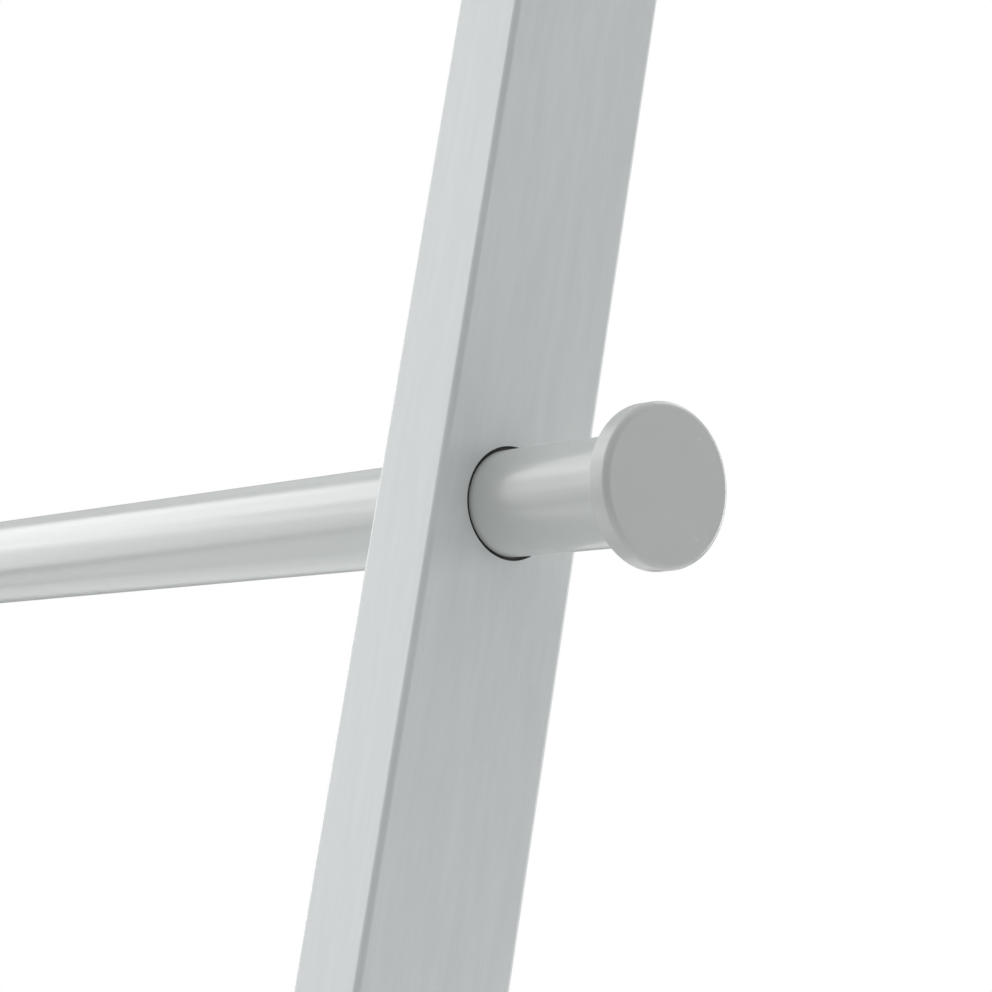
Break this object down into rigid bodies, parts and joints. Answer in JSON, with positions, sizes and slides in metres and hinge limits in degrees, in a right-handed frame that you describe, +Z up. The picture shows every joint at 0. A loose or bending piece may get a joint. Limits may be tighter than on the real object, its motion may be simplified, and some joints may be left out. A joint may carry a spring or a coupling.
{
  "type": "leaning quilt rack",
  "caption": "Leaning ladder rack for quilts: two flat wooden posts carry round rails that pass through them and end in flat discs; rubber feet, wall bumpers and brackets.",
  "frame": {"origin": "on the floor, in the middle of the rack's footprint box", "axes": "+X along the rails to the right post, +Y to the wall, +Z up"},
  "size_m": [0.6, 0.3726, 1.7741],
  "materials": {
    "post_wood": "light grey lacquer over fine straight grain",
    "rail_coat": "satin light grey powder coat on tube",
    "disc_coat": "satin light grey powder coat on the end discs",
    "bush_nylon": "black nylon",
    "pad_rubber": "matt dark grey rubber",
    "bracket_steel": "satin light grey powder coat",
    "screw_steel": "zinc plated",
    "locating_steel": "black oxide",
    "insert_brass": "turned",
    "plug_aluminium": "turned"
  },
  "bodies": {
    "stand": {"bracket_screws_left": "screw_steel", "bracket_screws_right": "screw_steel", "bumper_screw_left": "screw_steel", "bumper_screw_right": "screw_steel", "bush_1_left": "bush_nylon", "bush_1_right": "bush_nylon", "bush_2_left": "bush_nylon", "bush_2_right": "bush_nylon", "bush_3_left": "bush_nylon", "bush_3_right": "bush_nylon", "bush_4_left": "bush_nylon", "bush_4_right": "bush_nylon", "bush_5_left": "bush_nylon", "bush_5_right": "bush_nylon", "foot_left": "pad_rubber", "foot_right": "pad_rubber", "foot_screw_left": "screw_steel", "foot_screw_right": "screw_steel", "locating_screws_left": "locating_steel", "locating_screws_right": "locating_steel", "post_left": "post_wood", "post_right": "post_wood", "screw_inserts_left": "insert_brass", "screw_inserts_right": "insert_brass", "wall_bracket_left": "bracket_steel", "wall_bracket_right": "bracket_steel", "wall_bumper_left": "pad_rubber", "wall_bumper_right": "pad_rubber"},
    "rail_1_unit": {"rail_1": "rail_coat", "rail_1_disc_left": "disc_coat", "rail_1_disc_right": "disc_coat", "rail_1_plug_left": "plug_aluminium", "rail_1_plug_right": "plug_aluminium"},
    "rail_2_unit": {"rail_2": "rail_coat", "rail_2_disc_left": "disc_coat", "rail_2_disc_right": "disc_coat", "rail_2_plug_left": "plug_aluminium", "rail_2_plug_right": "plug_aluminium"},
    "rail_3_unit": {"rail_3": "rail_coat", "rail_3_disc_left": "disc_coat", "rail_3_disc_right": "disc_coat", "rail_3_plug_left": "plug_aluminium", "rail_3_plug_right": "plug_aluminium"},
    "rail_4_unit": {"rail_4": "rail_coat", "rail_4_disc_left": "disc_coat", "rail_4_disc_right": "disc_coat", "rail_4_plug_left": "plug_aluminium", "rail_4_plug_right": "plug_aluminium"},
    "rail_5_unit": {"rail_5": "rail_coat", "rail_5_disc_left": "disc_coat", "rail_5_disc_right": "disc_coat", "rail_5_plug_left": "plug_aluminium", "rail_5_plug_right": "plug_aluminium"}
  },
  "joints": [
    {"name": "rail_1_turn", "type": "hinge", "parent": "stand", "child": "rail_1_unit", "pos_m": [0, -0.1112, 0.29849], "axis": [1, 0, 0], "continuous": true},
    {"name": "rail_2_turn", "type": "hinge", "parent": "stand", "child": "rail_2_unit", "pos_m": [0, -0.05014, 0.61261], "axis": [1, 0, 0], "continuous": true},
    {"name": "rail_3_turn", "type": "hinge", "parent": "stand", "child": "rail_3_unit", "pos_m": [0, 0.01092, 0.92673], "axis": [1, 0, 0], "continuous": true},
    {"name": "rail_4_turn", "type": "hinge", "parent": "stand", "child": "rail_4_unit", "pos_m": [0, 0.07198, 1.24085], "axis": [1, 0, 0], "continuous": true},
    {"name": "rail_5_turn", "type": "hinge", "parent": "stand", "child": "rail_5_unit", "pos_m": [0, 0.13304, 1.55497], "axis": [1, 0, 0], "continuous": true}
  ]
}
